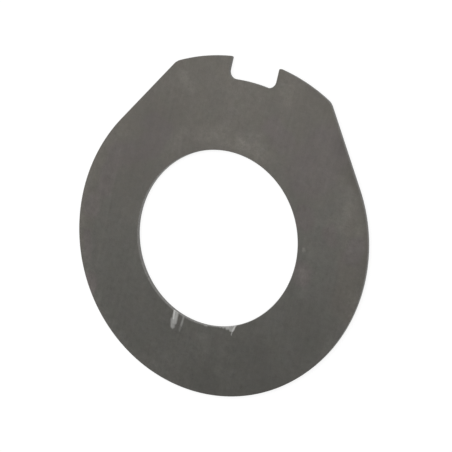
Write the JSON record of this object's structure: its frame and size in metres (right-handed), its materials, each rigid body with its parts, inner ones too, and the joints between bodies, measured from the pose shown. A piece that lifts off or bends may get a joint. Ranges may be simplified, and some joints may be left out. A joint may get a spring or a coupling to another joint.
{
  "type": "keyed spacer plate",
  "caption": "Flat round steel spacer plate with a large bore and a rim lobe whose square notch keys it against turning.",
  "frame": {"origin": "on the bore's axis, in the plane of the lower face", "axes": "+Z along the bore's axis, out of the upper face; +Y towards the lobe and its notch"},
  "size_m": [0.126, 0.1338, 0.002],
  "materials": {
    "bare_steel": "satin"
  },
  "bodies": {
    "root": {"spacer_plate": "bare_steel"}
  },
  "joints": []
}
